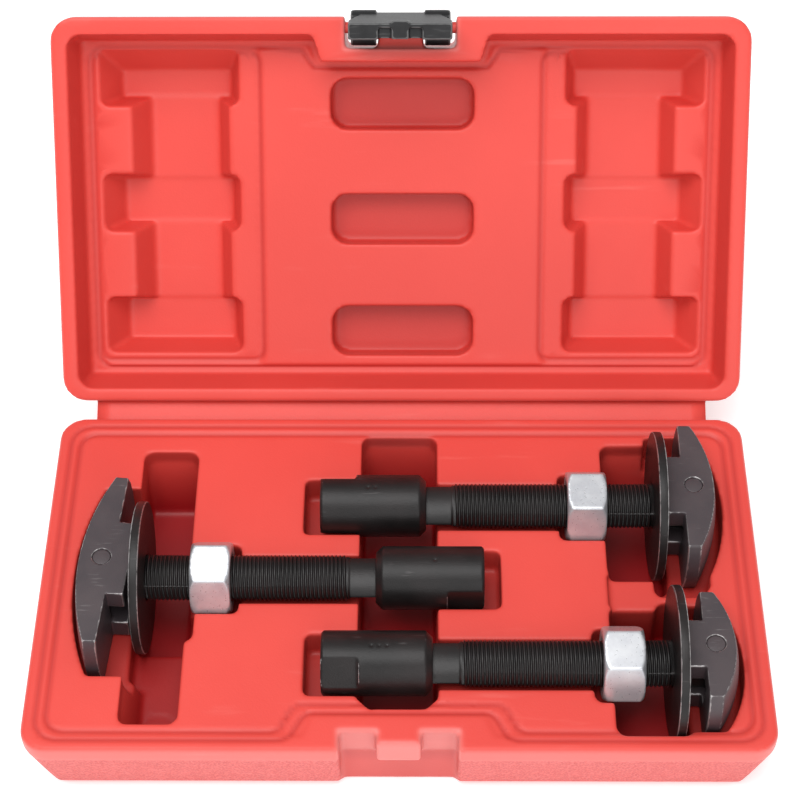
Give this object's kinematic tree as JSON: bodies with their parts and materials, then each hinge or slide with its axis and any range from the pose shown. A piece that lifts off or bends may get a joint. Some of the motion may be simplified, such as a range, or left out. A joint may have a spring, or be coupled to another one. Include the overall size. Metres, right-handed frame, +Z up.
{
  "type": "bearing puller adapter set",
  "caption": "Open blow-moulded case holding folding-head bearing pullers with threaded rods, thrust plates, nuts and hammer couplers.",
  "frame": {"origin": "centre of the flat underside of the tray", "axes": "+X to the right along the long side, +Y to the hinge, +Z up; the large coupler opens towards +X"},
  "size_m": [0.25, 0.2512, 0.1551],
  "materials": {
    "case_shell": "fine leather grain, satin",
    "case_inner": "satin",
    "latch_black": "satin",
    "black_steel": "black oxide, slightly worn",
    "zinc_steel": "bright zinc plate"
  },
  "bodies": {
    "tray": {"tray_outer_shell": "case_shell", "tray_inner_wall": "case_inner"},
    "hinge_strip": {"hinge_strip": "case_shell"},
    "lid": {"lid_outer_shell": "case_shell", "lid_inner_wall": "case_inner", "latch_bar": "case_shell"},
    "latch": {"latch": "latch_black"},
    "large_puller": {"large_rod": "black_steel", "large_coupler": "black_steel", "large_pivot_pin": "black_steel"},
    "large_nut": {"large_nut": "zinc_steel"},
    "large_thrust_plate": {"large_thrust_plate": "black_steel"},
    "large_head": {"large_head": "black_steel"},
    "medium_puller": {"medium_rod": "black_steel", "medium_coupler": "black_steel", "medium_pivot_pin": "black_steel"},
    "medium_nut": {"medium_nut": "zinc_steel"},
    "medium_thrust_plate": {"medium_thrust_plate": "black_steel"},
    "medium_head": {"medium_head": "black_steel"},
    "small_puller": {"small_rod": "black_steel", "small_coupler": "black_steel", "small_pivot_pin": "black_steel"},
    "small_nut": {"small_nut": "zinc_steel"},
    "small_thrust_plate": {"small_thrust_plate": "black_steel"},
    "small_head": {"small_head": "black_steel"}
  },
  "joints": [
    {"name": "lower_fold", "type": "hinge", "parent": "tray", "child": "hinge_strip", "pos_m": [0, 0.0708, 0.027], "axis": [-1, 0, 0], "range_deg": [-63.65, 0]},
    {"name": "upper_fold", "type": "hinge", "parent": "hinge_strip", "child": "lid", "pos_m": [0, 0.07833, 0.03073], "axis": [-1, 0, 0], "range_deg": [-63.65, 0]},
    {"name": "latch_swing", "type": "hinge", "parent": "lid", "child": "latch", "pos_m": [0, 0.16202, 0.13894], "axis": [-1, 0, 0], "range_deg": [0, 70]},
    {"name": "large_lift", "type": "slide", "parent": "tray", "child": "large_puller", "axis": [0, 0, 1], "range_m": [0, 0.12]},
    {"name": "large_nut_travel", "type": "slide", "parent": "large_puller", "child": "large_nut", "axis": [1, 0, 0], "range_m": [-0.0153, 0]},
    {"name": "large_plate_slide", "type": "slide", "parent": "large_puller", "child": "large_thrust_plate", "axis": [1, 0, 0], "range_m": [0, 0.0142]},
    {"name": "large_head_tilt", "type": "hinge", "parent": "large_puller", "child": "large_head", "pos_m": [-0.1023, -0.0015, 0.031], "axis": [0, 0, 1], "range_deg": [0, 24]},
    {"name": "medium_lift", "type": "slide", "parent": "tray", "child": "medium_puller", "axis": [0, 0, 1], "range_m": [0, 0.12]},
    {"name": "medium_nut_travel", "type": "slide", "parent": "medium_puller", "child": "medium_nut", "axis": [-1, 0, 0], "range_m": [-0.0163, 0]},
    {"name": "medium_plate_slide", "type": "slide", "parent": "medium_puller", "child": "medium_thrust_plate", "axis": [-1, 0, 0], "range_m": [0, 0.0142]},
    {"name": "medium_head_tilt", "type": "hinge", "parent": "medium_puller", "child": "medium_head", "pos_m": [0.1032, 0.0297, 0.031], "axis": [0, 0, 1], "range_deg": [0, 26]},
    {"name": "small_lift", "type": "slide", "parent": "tray", "child": "small_puller", "axis": [0, 0, 1], "range_m": [0, 0.12]},
    {"name": "small_nut_travel", "type": "slide", "parent": "small_puller", "child": "small_nut", "axis": [-1, 0, 0], "range_m": [-0.0092, 0]},
    {"name": "small_plate_slide", "type": "slide", "parent": "small_puller", "child": "small_thrust_plate", "axis": [-1, 0, 0], "range_m": [0, 0.0084]},
    {"name": "small_head_tilt", "type": "hinge", "parent": "small_puller", "child": "small_head", "pos_m": [0.1053, -0.0363, 0.031], "axis": [0, 0, 1], "range_deg": [0, 25]}
  ],
  "couplings": [
    {"joint": "upper_fold", "follows": "lower_fold", "ratio": 1},
    {"joint": "large_plate_slide", "follows": "large_lift", "ratio": 0.11833},
    {"joint": "large_head_tilt", "follows": "large_lift", "rad_per_m": 3.4907},
    {"joint": "medium_plate_slide", "follows": "medium_lift", "ratio": 0.11833},
    {"joint": "medium_head_tilt", "follows": "medium_lift", "rad_per_m": 3.7815},
    {"joint": "small_plate_slide", "follows": "small_lift", "ratio": 0.07},
    {"joint": "small_head_tilt", "follows": "small_lift", "rad_per_m": 3.6361}
  ]
}
